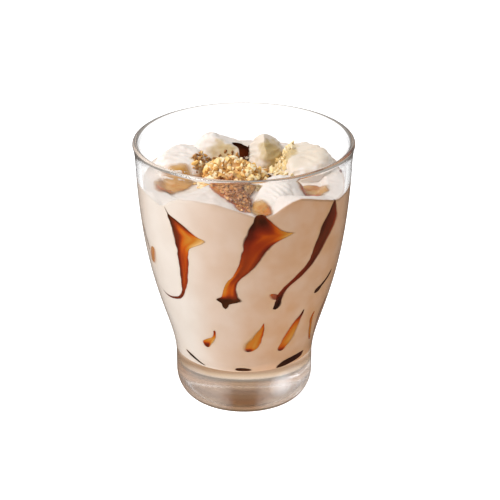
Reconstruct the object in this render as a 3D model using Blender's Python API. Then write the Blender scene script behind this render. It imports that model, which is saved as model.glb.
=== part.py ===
"""An ice cream sundae in a flared glass tumbler.

The tumbler is one turned piece of glass with a thick base. Soft ice cream fills it to an uneven level
just under the rim, spooned lumps of it stand on top, and a heap of chopped nuts lies between them.
Metres, +Z up. The origin is the middle of the base, and the front of the sundae faces -Y.
"""

import math

import bmesh
import bpy
from mathutils import Euler, Matrix, Vector, noise

MM = 0.001
SEGMENTS = 48                       # facets round the glass and round the ice cream in it
GAP = 0.3 * MM                      # clearance that touching pieces keep
FACET_SAG = 0.1 * MM                # how far a facet of the glass lies inside its true circle

# Glass: outside
GLASS_HEIGHT = 108 * MM
RIM_RADIUS = 43.1 * MM
FOOT_RADIUS = 27.1 * MM             # widest part of the heavy foot
CONTACT_RADIUS = 18.6 * MM          # ring on which the glass stands
HEEL_HEIGHT = 11 * MM               # height of the rounded heel under the foot
FOOT_TOP = 17.2 * MM                # height at which the foot ends and the flare begins
FLARE_PULLS = ((27.1 * MM, 34.7 * MM), (39.9 * MM, 45.9 * MM))
FLARE_TOP = (42.1 * MM, 99.5 * MM)  # where the flare turns out into the lip
LIP_PULLS = ((42.25 * MM, 102.5 * MM), (42.5 * MM, 105 * MM))
PUNT_RADIUS = 17.4 * MM             # shallow domed hollow under the base
PUNT_HEIGHT = 1.2 * MM

# Glass: inside
WALL = 2.2 * MM
FLOOR = 19.6 * MM                   # top of the thick base
FLOOR_CORNER = 5 * MM

# Ice cream in the glass, by angle from the front, + to the right, in degrees: level where it meets the wall, how far
# in its brim reaches as a share of the radius, and the height of the brim's inner edge, in millimetres
BRIM = (
    (-180, 92.5, 0.80, 92.5), (-140, 93.0, 0.80, 92.5), (-100, 93.0, 0.84, 92.5), (-75, 93.4, 0.86, 92.8),
    (-60, 92.6, 0.84, 92.6), (-52, 91.2, 0.78, 92.2), (-44, 94.4, 0.40, 95.6), (-38, 96.4, 0.30, 97.4),
    (-28, 97.5, 0.22, 98.2), (-15, 97.1, 0.24, 97.4), (-5, 95.3, 0.36, 95.6), (1, 93.8, 0.60, 94.0),
    (7, 92.2, 0.84, 91.8), (16, 92.9, 0.80, 92.4), (22, 95.5, 0.76, 94.8), (32, 97.6, 0.82, 97.0),
    (45, 94.9, 0.86, 95.0), (58, 91.7, 0.88, 92.4), (72, 91.6, 0.84, 92.4), (95, 92.8, 0.82, 92.8),
    (120, 93.4, 0.80, 92.8), (150, 92.8, 0.80, 92.5), (180, 92.5, 0.80, 92.5),
)
BED = 90.5                          # level in the middle, under the lumps and the nuts, in millimetres
BRIM_DROP = 0.12                    # share of the radius over which the brim falls to the bed
EDGE_ROUND = 1.2 * MM

# Lumps: centre, half axes, turn in degrees, and the flats left by the spoon (direction, distance)
LUMPS = {
    "lump_left": (
        (-24.0, 12.0, 91.4), (12.0, 13.6, 10.4), (-6, 4, 8),
        (((0.05, -0.28, 0.95), 7.0), ((0.9, -0.2, 0.4), 9.0), ((-0.6, 0.5, 0.6), 9.4)),
    ),
    "lump_back_left": (
        (-9.8, 25.6, 91.4), (12.8, 8.8, 10.6), (-4, 0, -6),
        (((0.40, 0.0, 0.92), 7.4), ((-0.1, -0.9, 0.42), 6.4), ((-0.7, -0.1, 0.7), 10.0)),
    ),
    "lump_back_right": (
        (8.8, 23.4, 91.4), (8.8, 9.4, 11.2), (0, -6, 8),
        (((-0.72, -0.25, 0.64), 6.2), ((0.66, -0.35, 0.66), 6.2), ((0.1, 0.8, 0.6), 8.4)),
    ),
    "lump_right": (
        (24.6, 14.0, 91.2), (11.8, 13.0, 10.2), (-6, -4, -8),
        (((-0.06, -0.26, 0.96), 6.9), ((-0.85, -0.3, 0.4), 9.0), ((0.6, 0.5, 0.6), 9.2)),
    ),
    "lump_front": (
        (12.6, -20.5, 91.0), (10.4, 15.0, 7.8), (6, 2, -12),
        (((-0.26, -0.15, 0.95), 5.6), ((0.62, -0.1, 0.78), 6.6), ((-0.9, 0.0, 0.4), 8.2)),
    ),
}
LUMP_SEGMENTS = 20
LUMP_RINGS = 12

# Heap of chopped nuts: a low mound that runs out forwards into the dip at the front
NUTS_CENTRE = (-5.0, 2.0, 92.4)
NUTS_REACH = 13.0                   # mound's reach to the sides and the back
NUTS_TONGUE = 33.0                  # reach to the front
NUTS_RISE = 7.0                     # height of the mound above its centre
NUTS_DEPTH = 3.2
NUTS_RELIEF = 0.9
NUTS_SIZE = 3.4                     # spacing of the bumps


def clear_scene():
    """Empties the file that the model is built in."""
    for obj in list(bpy.data.objects):
        bpy.data.objects.remove(obj, do_unlink=True)


def finish(name, bm, colour, roughness, transmission=0.0):
    """Makes one named object with its own material from a closed mesh."""
    mesh = bpy.data.meshes.new(name)
    bmesh.ops.recalc_face_normals(bm, faces=bm.faces)
    bm.to_mesh(mesh)
    bm.free()
    mesh.shade_smooth()
    mesh.set_sharp_from_angle(angle=math.radians(35))
    obj = bpy.data.objects.new(name, mesh)
    bpy.context.collection.objects.link(obj)
    material = bpy.data.materials.new(name)
    material.use_nodes = True
    shader = material.node_tree.nodes["Principled BSDF"]
    shader.inputs["Base Color"].default_value = (*colour, 1)
    shader.inputs["Roughness"].default_value = roughness
    shader.inputs["Transmission Weight"].default_value = transmission
    mesh.materials.append(material)
    return obj


def turn(profile):
    """Spins an outline of (radius, height) points, which starts and ends on the axis, into a closed body."""
    bm = bmesh.new()
    verts = [bm.verts.new((radius, 0, height)) for radius, height in profile]
    edges = [bm.edges.new(pair) for pair in zip(verts, verts[1:])]
    bmesh.ops.spin(
        bm, geom=verts + edges, cent=(0, 0, 0), axis=(0, 0, 1), angle=math.tau, steps=SEGMENTS, use_merge=True,
    )
    bmesh.ops.remove_doubles(bm, verts=bm.verts, dist=0.01 * MM)
    return bm


def bezier(start, pull_a, pull_b, end, steps):
    """Points on a cubic curve, after its start."""
    points = []
    for step in range(1, steps + 1):
        t = step / steps
        s = 1 - t
        points.append(tuple(
            s**3 * a + 3 * s * s * t * b + 3 * s * t * t * c + t**3 * d
            for a, b, c, d in zip(start, pull_a, pull_b, end)
        ))
    return points


def outside():
    """The glass's outer outline, from the ring it stands on up to the rim."""
    points = []
    for step in range(7):
        angle = math.radians(90 * step / 6)
        radius = CONTACT_RADIUS + (FOOT_RADIUS - CONTACT_RADIUS) * math.sin(angle)
        points.append((radius, HEEL_HEIGHT * (1 - math.cos(angle))))
    points.append((FOOT_RADIUS, FOOT_TOP))
    points += bezier((FOOT_RADIUS, FOOT_TOP), *FLARE_PULLS, FLARE_TOP, 9)
    points += bezier(FLARE_TOP, *LIP_PULLS, (RIM_RADIUS, GLASS_HEIGHT - WALL / 2), 3)
    return points


def outer_radius(height):
    """Radius of the glass's outside at a height above its foot."""
    points = outside()
    for (r0, z0), (r1, z1) in zip(points, points[1:]):
        if z0 <= height <= z1:
            return r0 + (r1 - r0) * (height - z0) / (z1 - z0)
    return RIM_RADIUS


def cavity_radius(height):
    """Radius of the hollow in the glass, with a rounded corner at its floor."""
    radius = outer_radius(height) - WALL
    rise = height - FLOOR
    if rise < FLOOR_CORNER:
        drop = FLOOR_CORNER - max(rise, 0)
        radius -= FLOOR_CORNER - math.sqrt(FLOOR_CORNER**2 - drop**2)
    return radius


def make_glass():
    """The tumbler: a shallow hollow underneath, the thick base, the wall and a rounded rim."""
    profile = []
    for step in range(5):
        share = step / 4
        profile.append((PUNT_RADIUS * share, PUNT_HEIGHT * math.cos(math.pi / 2 * share) ** 2))
    profile += outside()
    for step in range(1, 5):
        angle = math.radians(180 * step / 4)
        radius = RIM_RADIUS - WALL / 2 + WALL / 2 * math.cos(angle)
        profile.append((radius, GLASS_HEIGHT - WALL / 2 + WALL / 2 * math.sin(angle)))
    steps = 12
    top = GLASS_HEIGHT - WALL / 2
    for step in range(1, steps + 1):
        height = top + (FLOOR + FLOOR_CORNER - top) * step / steps
        profile.append((cavity_radius(height), height))
    for share in (0.6, 0.28, 0.08):
        profile.append((cavity_radius(FLOOR + FLOOR_CORNER * share), FLOOR + FLOOR_CORNER * share))
    profile += [(cavity_radius(FLOOR), FLOOR), (0, FLOOR)]
    return finish("glass_tumbler", turn(profile), (0.93, 0.95, 0.95), 0.02, 1.0)


def ramp(value, low, high):
    """0 below low, 1 above high, smooth between them."""
    t = min(max((value - low) / (high - low), 0), 1)
    return t * t * (3 - 2 * t)


def brim_at(angle):
    """Wall level, reach and inner height of the brim, at an angle in degrees from the front."""
    for (low, *values), (high, *after) in zip(BRIM, BRIM[1:]):
        if low <= angle <= high:
            t = (angle - low) / (high - low)
            return [a + (b - a) * t for a, b in zip(values, after)]
    return list(BRIM[0][1:])


def top_level(angle, share):
    """Height of the ice cream's top, at an angle from the front and a share of the way out to the wall."""
    level, reach, inner = brim_at(angle)
    if share > reach:
        return (inner + (level - inner) * (share - reach) / (1 - reach)) * MM
    return (BED + (inner - BED) * ramp(share, reach - BRIM_DROP, reach)) * MM


def make_ice_cream():
    """Ice cream that fills the hollow, with a flat bottom and an uneven top."""
    nominal = 90 * MM
    bottom = FLOOR + GAP
    corner = bottom + FLOOR_CORNER
    profile = [(0, bottom), (cavity_radius(FLOOR) - GAP, bottom)]
    for share in (0.08, 0.28, 0.6, 1):
        height = bottom + FLOOR_CORNER * share
        profile.append((cavity_radius(height) - GAP, height))
    for step in range(1, 9):
        height = corner + (nominal - corner) * step / 8
        profile.append((cavity_radius(height) - GAP, height))
    full = profile[-1][0]
    rings = 9
    for step in range(rings):
        profile.append(((full - EDGE_ROUND) * (1 - step / rings), nominal))
    profile.append((0, nominal))
    bm = turn(profile)
    for vert in bm.verts:
        radius = math.hypot(vert.co.x, vert.co.y)
        angle = math.degrees(math.atan2(vert.co.x, -vert.co.y))
        level = brim_at(angle)[0] * MM
        if vert.co.z > nominal - 0.01 * MM and radius < full - 0.01 * MM:
            share = radius / full
            vert.co.z = top_level(angle, share)
            new_radius = share * (cavity_radius(level) - GAP)
        elif vert.co.z > corner:
            rise = (vert.co.z - corner) / (nominal - corner)
            vert.co.z = corner + rise * (level - EDGE_ROUND - corner)
            new_radius = cavity_radius(vert.co.z) - GAP
        else:
            continue
        if radius > 0:
            vert.co.x *= new_radius / radius
            vert.co.y *= new_radius / radius
    return finish("ice_cream", bm, (0.75, 0.62, 0.48), 0.5)


def lump_mesh(axes, flats, grow):
    """A rounded lump with the flats that a spoon leaves, larger by grow on every side."""
    bm = bmesh.new()
    bmesh.ops.create_uvsphere(bm, u_segments=LUMP_SEGMENTS, v_segments=LUMP_RINGS, radius=1)
    bmesh.ops.scale(bm, vec=[axis * MM + grow for axis in axes], verts=bm.verts)
    for direction, distance in flats:
        normal = Vector(direction).normalized()
        everything = bm.verts[:] + bm.edges[:] + bm.faces[:]
        cut = bmesh.ops.bisect_plane(
            bm, geom=everything, dist=0.01 * MM, plane_co=normal * (distance * MM + grow), plane_no=normal,
            clear_outer=True,
        )
        rim = [item for item in cut["geom_cut"] if isinstance(item, bmesh.types.BMEdge)]
        bmesh.ops.edgeloop_fill(bm, edges=rim)
    return bm


def place(obj, centre, turns):
    """Puts a lump at its centre, turned by degrees about X, Y and Z."""
    obj.location = Vector(centre) * MM
    obj.rotation_euler = Euler([math.radians(degrees) for degrees in turns])


def fit_in_glass(obj):
    """Pulls a placed lump in where it would press through the wall."""
    placed = Matrix.LocRotScale(obj.location, obj.rotation_euler, None)
    back = placed.inverted()
    for vert in obj.data.vertices:
        point = placed @ vert.co
        radius = math.hypot(point.x, point.y)
        limit = cavity_radius(point.z) - GAP - FACET_SAG
        if radius > limit:
            point.x *= limit / radius
            point.y *= limit / radius
            vert.co = back @ point


def make_lumps():
    """The spooned lumps, and a slightly larger cutter for the nest of each."""
    lumps = []
    cutters = []
    for name, (centre, axes, turns, flats) in LUMPS.items():
        lump = finish(name, lump_mesh(axes, flats, 0), (0.82, 0.72, 0.58), 0.5)
        cutter = finish(name + "_nest", lump_mesh(axes, flats, GAP), (0.5, 0.5, 0.5), 0.5)
        for obj in (lump, cutter):
            place(obj, centre, turns)
        fit_in_glass(lump)
        lumps.append(lump)
        cutters.append(cutter)
    return lumps, cutters


def mound_mesh(grow):
    """The mound of nuts, uneven at the size of single nuts, larger by grow on every side."""
    bm = bmesh.new()
    bmesh.ops.create_uvsphere(bm, u_segments=24, v_segments=12, radius=1)
    for vert in bm.verts:
        way = vert.co.normalized()
        reach = NUTS_REACH
        if way.y < 0:
            reach += (NUTS_TONGUE - NUTS_REACH) * (-way.y) ** 3
        height = NUTS_RISE if way.z > 0 else NUTS_DEPTH
        point = Vector((way.x * NUTS_REACH, way.y * reach, way.z * height))
        bump = noise.noise(point / NUTS_SIZE) * NUTS_RELIEF * max(way.z, 0)
        point += way * bump
        vert.co = (point + way * (grow / MM)) * MM
    return bm


def make_nuts():
    """The heap of chopped nuts, and the cutter for its nest."""
    heap = finish("nut_heap", mound_mesh(0), (0.72, 0.42, 0.14), 0.6)
    cutter = finish("nut_heap_nest", mound_mesh(GAP), (0.5, 0.5, 0.5), 0.5)
    for obj in (heap, cutter):
        place(obj, NUTS_CENTRE, (-4, 0, 0))
    return heap, cutter


def cut(target, cutter):
    """Takes the cutter's space out of the target."""
    cutter.hide_render = True
    cutter.display_type = "WIRE"
    boolean = target.modifiers.new(cutter.name, "BOOLEAN")
    boolean.operation = "DIFFERENCE"
    boolean.object = cutter


def main():
    clear_scene()
    make_glass()
    ice_cream = make_ice_cream()
    lumps, lump_cutters = make_lumps()
    heap, heap_cutter = make_nuts()
    for index, lump in enumerate(lumps):
        for cutter in lump_cutters[:index]:
            cut(lump, cutter)
    for cutter in lump_cutters:
        cut(heap, cutter)
        cut(ice_cream, cutter)
    cut(ice_cream, heap_cutter)


main()
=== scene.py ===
"""An ice cream sundae in a flared glass tumbler.

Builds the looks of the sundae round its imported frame: the clear tumbler, the soft ice cream that fills it,
the spooned lumps on top, the caramel sauce that runs down between ice cream and glass, and the chopped nuts.
Lengths in the tables are millimetres, everything else is metres. +Z is up and the front faces -Y.
"""

import math
import random

import bmesh
import bpy
import numpy as np
from bpy.props import FloatProperty, FloatVectorProperty, IntProperty, PointerProperty
from bpy.types import Operator, Panel, PropertyGroup
from mathutils import Euler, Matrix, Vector
from mathutils.bvhtree import BVHTree


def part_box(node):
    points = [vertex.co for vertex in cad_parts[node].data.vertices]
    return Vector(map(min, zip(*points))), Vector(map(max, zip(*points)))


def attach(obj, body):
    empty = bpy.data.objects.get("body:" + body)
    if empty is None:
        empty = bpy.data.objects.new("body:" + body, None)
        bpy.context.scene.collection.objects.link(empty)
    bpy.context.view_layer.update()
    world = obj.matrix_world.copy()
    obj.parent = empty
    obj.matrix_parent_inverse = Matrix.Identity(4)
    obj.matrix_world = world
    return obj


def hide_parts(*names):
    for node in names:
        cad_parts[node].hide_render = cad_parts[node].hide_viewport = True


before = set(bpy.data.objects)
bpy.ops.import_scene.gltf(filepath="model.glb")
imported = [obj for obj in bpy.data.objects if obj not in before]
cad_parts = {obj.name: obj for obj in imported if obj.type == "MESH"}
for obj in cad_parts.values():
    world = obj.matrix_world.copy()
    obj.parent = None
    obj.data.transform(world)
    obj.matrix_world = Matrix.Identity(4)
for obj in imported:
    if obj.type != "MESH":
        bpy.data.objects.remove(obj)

bl_info = {
    "name": "Ice cream sundae",
    "version": (1, 0, 0),
    "blender": (4, 5, 0),
    "location": "3D View > Sidebar > Sundae",
    "description": "Builds an ice cream sundae in a glass tumbler, with caramel sauce and chopped nuts",
    "category": "Add Mesh",
}

MM = 0.001
BODY = "root"
GLASS_LOW, GLASS_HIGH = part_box("glass_tumbler")

# The glass's outline in millimetres (radius, height)
CONTACT_RADIUS = 18.6
FOOT_RADIUS = 27.1
HEEL_HEIGHT = 11.0
FOOT_TOP = 17.2
FLARE_PULLS = ((27.1, 34.7), (39.9, 45.9))
FLARE_TOP = (42.1, 99.5)
LIP_PULLS = ((42.25, 102.5), (42.5, 105.0))
PUNT_RADIUS = 17.4
PUNT_HEIGHT = 1.2
FLOOR = 19.6
FLOOR_CORNER = 5.0

# The glass's shading: heights over which the lip begins, edge-on glass darkens (partly painted shade) and the
# rounded base turns clear, the top of the painted bands of shade and highlight in the base, how far to the
# side they turn pale, where a painted glint glows in the base and how it fades, and the count of reflections
# after which light is trapped and the glass glows a painted grey
LIP_BEGINS = (104 * MM, 106 * MM)
EDGE_DARKENS = (84 * MM, 100 * MM)
BASE_CLEARS = (16 * MM, 20 * MM)
PAINTED_BANDS_TOP = 22 * MM
PAINTED_SIDES_BEGIN = (4 * MM, 11 * MM)
GLINT = (14.5 * MM, -22.0 * MM, 13.5 * MM)
GLINT_FADES = (1.5 * MM, 6 * MM)
LAST_REFLECTION = 3.5

# Ice cream's top by angle from the front, + to the right, in degrees: where it meets the glass, how far in
# its brim reaches as a share of the radius, and the height of the brim's inner edge. BED is the top within
# the brim, and DROP the share of the radius over which the brim falls to it
BRIM = (
    (-180, 92.5, 0.8, 92.5), (-140, 93.0, 0.8, 92.5), (-100, 93.0, 0.84, 92.5), (-75, 93.4, 0.86, 92.8),
    (-60, 92.6, 0.84, 92.6), (-52, 91.2, 0.78, 92.2), (-48, 92.0, 0.6, 93.4), (-44, 94.4, 0.4, 95.6),
    (-38, 96.4, 0.3, 97.4), (-28, 97.5, 0.22, 98.2), (-15, 97.1, 0.24, 97.4), (-5, 95.3, 0.36, 95.6),
    (1, 93.8, 0.6, 94.0), (7, 92.2, 0.84, 91.8), (12, 92.0, 0.86, 91.6), (16, 92.9, 0.8, 92.4),
    (22, 95.5, 0.76, 94.8), (27, 97.0, 0.78, 96.6), (32, 97.6, 0.82, 97.0), (38, 96.6, 0.84, 96.4),
    (45, 94.9, 0.86, 95.0), (52, 93.3, 0.88, 93.6), (58, 91.7, 0.88, 92.4), (63, 91.2, 0.86, 91.8),
    (72, 91.6, 0.84, 92.4), (95, 92.8, 0.82, 92.8), (120, 93.4, 0.8, 92.8), (150, 92.8, 0.8, 92.5),
    (180, 92.5, 0.8, 92.5),
)
BED = 90.5
DROP = 0.09

# Lumps: centre, half axes, turns in degrees, flats left by the spoon (direction, distance), and the ridges'
# direction and depth. FLAT_SOFTNESS is how far round each flat the surface bends
LUMPS = {
    "lump_left": (
        (-24.0, 12.0, 91.4), (12.0, 13.6, 10.4), (-6, 4, 8),
        (((0.05, -0.28, 0.95), 7.0), ((0.9, -0.2, 0.4), 9.0), ((-0.6, 0.5, 0.6), 9.4)),
        ((0.1, 0.25, 0.96), 0.34),
    ),
    "lump_back_left": (
        (-9.8, 25.6, 91.4), (12.8, 8.8, 10.6), (-4, 0, -6),
        (((0.40, 0.0, 0.92), 7.4), ((-0.1, -0.9, 0.42), 6.4), ((-0.7, -0.1, 0.7), 10.0)),
        ((0.2, 0.2, 0.95), 0.3),
    ),
    "lump_back_right": (
        (8.8, 23.4, 91.4), (8.8, 9.4, 11.2), (0, -6, 8),
        (((-0.72, -0.25, 0.64), 6.2), ((0.66, -0.35, 0.66), 6.2), ((0.1, 0.8, 0.6), 8.4)),
        ((0.1, 0.35, 0.9), 0.24),
    ),
    "lump_right": (
        (24.6, 14.0, 91.2), (11.8, 13.0, 10.2), (-6, -4, -8),
        (((-0.06, -0.26, 0.96), 6.9), ((-0.85, -0.3, 0.4), 9.0), ((0.6, 0.5, 0.6), 9.2)),
        ((-0.1, 0.3, 0.95), 0.32),
    ),
    "lump_front": (
        (12.6, -20.5, 91.0), (10.4, 15.0, 7.8), (6, 2, -12),
        (((-0.26, -0.15, 0.95), 5.6), ((0.62, -0.1, 0.78), 6.6), ((-0.9, 0.0, 0.4), 8.2)),
        ((0.6, 0.5, 0.5), 0.2),
    ),
}
FLAT_SOFTNESS = 2.4

# Sauce on the glass. Each run says how soft its left and right edges are, as a share of its half width, and
# how well it covers, from 0 to 1. Its rows go from the top down: height, angle of the left edge, angle of
# the right edge, and how dark it is at the left, in the middle and at the right, in percent, from a thin
# amber film to thick and almost black
RUNS = {
    "left": ((0.04, 0.2, 1.0), (
        (91.6, -47.9, -47.3, 90, 90, 90), (89.2, -45.7, -44.3, 100, 100, 100),
        (87.9, -45.2, -39.8, 95, 88, 90), (86.2, -44.5, -34.4, 92, 66, 84), (84.2, -43.7, -29.6, 86, 44, 70),
        (82.6, -43.0, -25.4, 82, 38, 40), (81.4, -42.5, -20.8, 80, 34, 13), (80.0, -42.0, -22.8, 80, 34, 6),
        (78.2, -41.5, -28.0, 84, 40, 10), (76.2, -41.0, -31.8, 88, 48, 30), (72.5, -40.7, -32.7, 85, 55, 54),
        (68.0, -40.4, -33.5, 83, 56, 60), (63.0, -40.8, -35.0, 80, 56, 62), (59.6, -41.1, -37.0, 72, 60, 60),
        (56.4, -42.1, -38.8, 65, 75, 65), (54.2, -44.0, -41.2, 70, 80, 70),
    )),
    "middle": ((0.08, 0.25, 1.0), (
        (93.4, 7.0, 11.0, 80, 80, 70), (92.2, 5.6, 12.6, 95, 90, 75), (90.3, 4.4, 15.4, 100, 95, 60),
        (88.2, 2.9, 18.6, 100, 82, 45), (86.4, 1.8, 21.6, 95, 68, 34), (85.0, 1.0, 25.6, 92, 56, 26),
        (84.2, 0.5, 29.6, 90, 50, 16), (83.2, 0.0, 26.4, 88, 52, 20), (82.0, -0.5, 21.6, 82, 56, 45),
        (80.6, -0.8, 17.6, 76, 58, 66), (79.0, -0.9, 15.0, 72, 58, 78), (77.0, -1.3, 12.2, 66, 58, 80),
        (73.4, -2.8, 9.0, 58, 60, 78), (70.2, -4.4, 5.4, 52, 64, 74), (67.0, -6.6, -0.2, 40, 66, 70),
        (64.4, -10.2, -3.0, 28, 56, 68), (61.4, -12.4, -4.2, 26, 46, 68), (58.8, -13.4, -3.8, 30, 50, 70),
        (57.5, -14.0, -3.0, 50, 70, 80), (56.6, -16.8, -1.4, 90, 90, 90), (55.9, -17.8, -1.0, 100, 100, 100),
        (55.1, -16.2, -3.8, 100, 100, 100), (54.3, -14.4, -8.4, 100, 100, 100),
        (53.2, -13.8, -9.6, 100, 100, 100), (51.9, -12.6, -10.8, 100, 100, 100),
    )),
    "right": ((0.08, 0.5, 0.94), (
        (92.2, 57.0, 58.4, 90, 90, 90), (90.0, 54.8, 60.0, 95, 85, 70), (87.6, 52.2, 61.2, 95, 78, 55),
        (84.8, 48.6, 63.4, 95, 76, 42), (82.0, 46.4, 62.0, 95, 76, 46), (79.4, 45.1, 59.0, 90, 80, 56),
        (76.4, 43.2, 54.8, 88, 82, 64), (73.2, 41.8, 50.8, 86, 84, 70), (70.4, 40.0, 47.2, 84, 84, 70),
        (67.6, 36.6, 43.4, 74, 80, 66), (65.2, 32.6, 39.0, 68, 76, 62), (62.8, 28.0, 33.6, 64, 74, 62),
        (60.4, 23.8, 28.4, 64, 74, 66), (58.0, 21.2, 25.8, 66, 80, 76), (55.6, 20.0, 24.6, 85, 95, 90),
        (53.0, 18.8, 24.2, 95, 100, 100), (50.9, 18.0, 22.4, 90, 100, 100),
    )),
    "right_barb": ((0.7, 0.4, 0.7), (
        (58.6, 14.6, 19.5, 30, 40, 60), (57.2, 15.0, 22.0, 35, 50, 70), (55.6, 17.6, 22.0, 50, 70, 90),
    )),
    "far_right": ((0.1, 0.1, 1.0), (
        (60.4, 66.0, 67.2, 90, 100, 90), (58.2, 61.8, 65.8, 95, 100, 95), (56.4, 56.4, 61.6, 95, 100, 95),
        (55.0, 50.6, 58.0, 100, 100, 100), (53.2, 49.8, 55.2, 100, 100, 100),
    )),
    "far_left_line": ((0.2, 0.2, 0.85), (
        (76.5, -78.4, -77.0, 60, 70, 60), (72.4, -74.9, -73.2, 85, 95, 85), (69.6, -73.0, -71.4, 80, 90, 80),
        (67.2, -72.8, -71.6, 70, 75, 70),
    )),
    "far_left": ((0.5, 0.8, 0.66), (
        (70.6, -67.0, -61.6, 26, 26, 22), (68.8, -70.0, -61.0, 34, 30, 22), (66.6, -71.4, -61.8, 34, 30, 22),
        (64.4, -72.4, -63.4, 30, 28, 22), (62.6, -72.0, -66.0, 26, 26, 22),
    )),
    "low_left": ((0.35, 0.5, 1.0), (
        (40.6, -22.6, -20.4, 70, 70, 60), (38.8, -23.0, -20.6, 60, 55, 40), (37.0, -24.6, -21.2, 35, 30, 25),
        (35.6, -29.6, -22.2, 25, 24, 15), (34.0, -33.8, -23.8, 40, 40, 12), (32.6, -33.6, -26.0, 60, 80, 20),
        (31.2, -32.0, -28.4, 60, 80, 40),
    )),
    "low_middle": ((0.85, 0.18, 1.0), (
        (44.8, 13.0, 14.2, 60, 60, 60), (42.4, 10.8, 14.5, 24, 34, 56), (40.4, 7.6, 14.4, 18, 28, 50),
        (37.6, 3.6, 13.9, 16, 25, 42), (35.0, -0.8, 13.0, 16, 25, 36), (32.8, -1.9, 11.4, 22, 28, 30),
        (31.7, -1.4, 9.0, 45, 62, 30), (30.7, 0.4, 6.0, 80, 90, 50),
    )),
    "low_right": ((0.3, 0.75, 1.0), (
        (47.4, 43.2, 44.8, 90, 100, 90), (45.2, 40.8, 44.8, 80, 80, 60), (42.8, 36.8, 44.0, 50, 46, 34),
        (39.8, 34.0, 43.4, 42, 33, 24), (36.6, 31.2, 43.0, 38, 30, 20), (33.4, 28.6, 41.0, 36, 30, 18),
        (30.8, 27.4, 36.8, 50, 52, 20), (29.2, 28.4, 34.0, 90, 90, 40),
    )),
    "low_far_right": ((0.5, 0.8, 0.8), (
        (43.6, 55.6, 59.0, 50, 40, 30), (40.6, 54.0, 59.0, 45, 36, 25), (37.0, 56.0, 61.6, 42, 30, 20),
        (32.4, 59.6, 65.4, 40, 28, 15), (28.0, 64.6, 69.6, 60, 50, 30),
    )),
    "low_edge": ((0.3, 0.3, 0.7), (
        (47.0, 71.0, 73.4, 50, 60, 50), (41.0, 67.6, 70.6, 60, 70, 60), (36.0, 68.8, 71.2, 50, 60, 50),
        (30.0, 72.0, 74.8, 40, 50, 40),
    )),
    "floor_left": ((0.2, 0.2, 0.95), (
        (25.6, -58.0, -54.0, 70, 80, 70), (24.0, -53.6, -46.6, 100, 100, 100),
        (22.4, -46.4, -40.6, 100, 100, 100), (20.9, -39.8, -35.6, 80, 90, 80),
    )),
    "floor_middle": ((0.1, 0.1, 1.0), (
        (22.6, -6.4, 1.0, 100, 100, 100), (21.7, -8.4, 6.4, 100, 100, 100), (20.7, -6.0, 6.0, 100, 100, 90),
    )),
    "floor_right": ((0.05, 0.05, 1.0), (
        (24.6, 48.0, 60.4, 95, 100, 90), (23.6, 36.0, 59.6, 100, 100, 100), (22.0, 31.0, 58.0, 100, 100, 100),
        (20.9, 30.4, 46.0, 100, 100, 100), (20.1, 31.0, 38.0, 90, 100, 90),
    )),
}

# The thin curl at the foot of the left run: angle, height, half width
HOOK = (
    (-40.6, 56.4, 0.7), (-42.2, 54.6, 0.7), (-45.2, 52.8, 0.62), (-50.0, 51.6, 0.5),
    (-56.0, 50.9, 0.4), (-62.0, 51.4, 0.32), (-68.0, 52.6, 0.18),
)

# Runs round the back are like those in front: name, which one, angle it is turned to, how far up, mirrored
# or not
BACK_RUNS = (
    ("back_1", "middle", 108, 0.0, True), ("back_2", "left", 180, 1.5, False),
    ("back_3", "right", 138, -2.0, False), ("back_4", "middle", 226, -1.0, True),
    ("back_5", "right", -70, 0.0, True), ("back_6", "low_middle", 96, 2.0, True),
    ("back_7", "low_right", 108, -1.0, False), ("back_8", "low_middle", 180, 0.0, False),
    ("back_9", "low_right", 248, 1.0, True), ("back_10", "low_left", 232, 3.0, False),
    ("back_11", "floor_right", 140, 0.0, True), ("back_12", "floor_right", 210, 0.0, False),
)

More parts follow.
